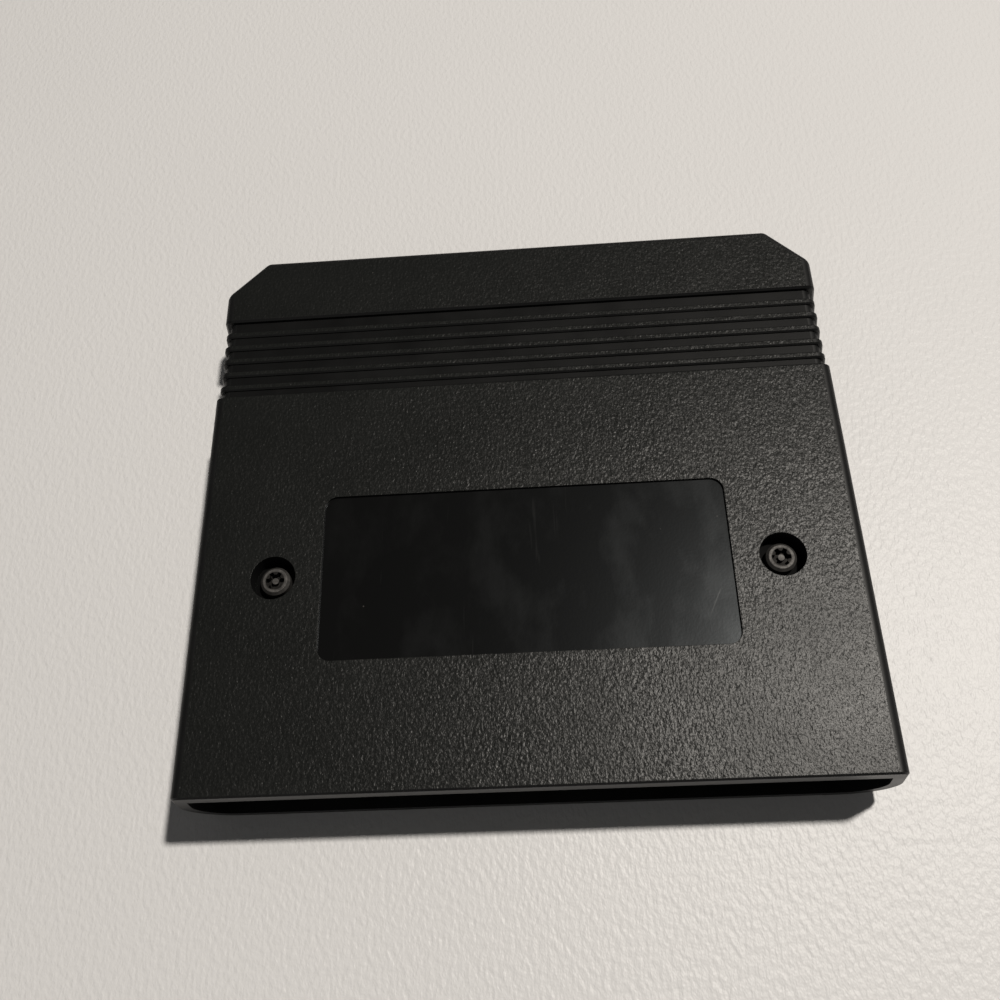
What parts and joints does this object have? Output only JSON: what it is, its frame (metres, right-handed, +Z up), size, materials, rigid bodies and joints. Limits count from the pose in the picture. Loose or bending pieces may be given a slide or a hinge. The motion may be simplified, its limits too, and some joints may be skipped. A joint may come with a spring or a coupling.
{
  "type": "game cartridge",
  "caption": "Flat black moulded game cartridge with a ribbed grip band, a bare recessed panel, sunk security screws and an open mouth over a gold card edge.",
  "frame": {"origin": "middle of the underside, on the front face that the cartridge lies on", "axes": "+X across the cartridge, +Y from the open mouth towards the grip end, +Z up out of the rear face"},
  "size_m": [0.1134, 0.102, 0.017],
  "materials": {
    "case_plastic": "fine moulded grain",
    "screw_steel": "dark oiled steel",
    "board_laminate": "green solder mask on glass laminate",
    "contact_gold": "thin hard gold on copper",
    "chip_resin": "moulded resin",
    "tinned_metal": "tinned",
    "ceramic_coat": "dipped coat",
    "can_sleeve": "shrunk sleeve",
    "seal_rubber": "moulded rubber"
  },
  "bodies": {
    "root": {"rear_shell": "case_plastic", "front_shell": "case_plastic", "shell_screws": "screw_steel", "circuit_board": "board_laminate", "front_contacts": "contact_gold", "rear_contacts": "contact_gold", "memory_package": "chip_resin", "memory_pins": "tinned_metal", "ceramic_capacitors": "ceramic_coat", "ceramic_leads": "tinned_metal", "reservoir_can": "can_sleeve", "reservoir_seal": "seal_rubber", "reservoir_leads": "tinned_metal"}
  },
  "joints": []
}
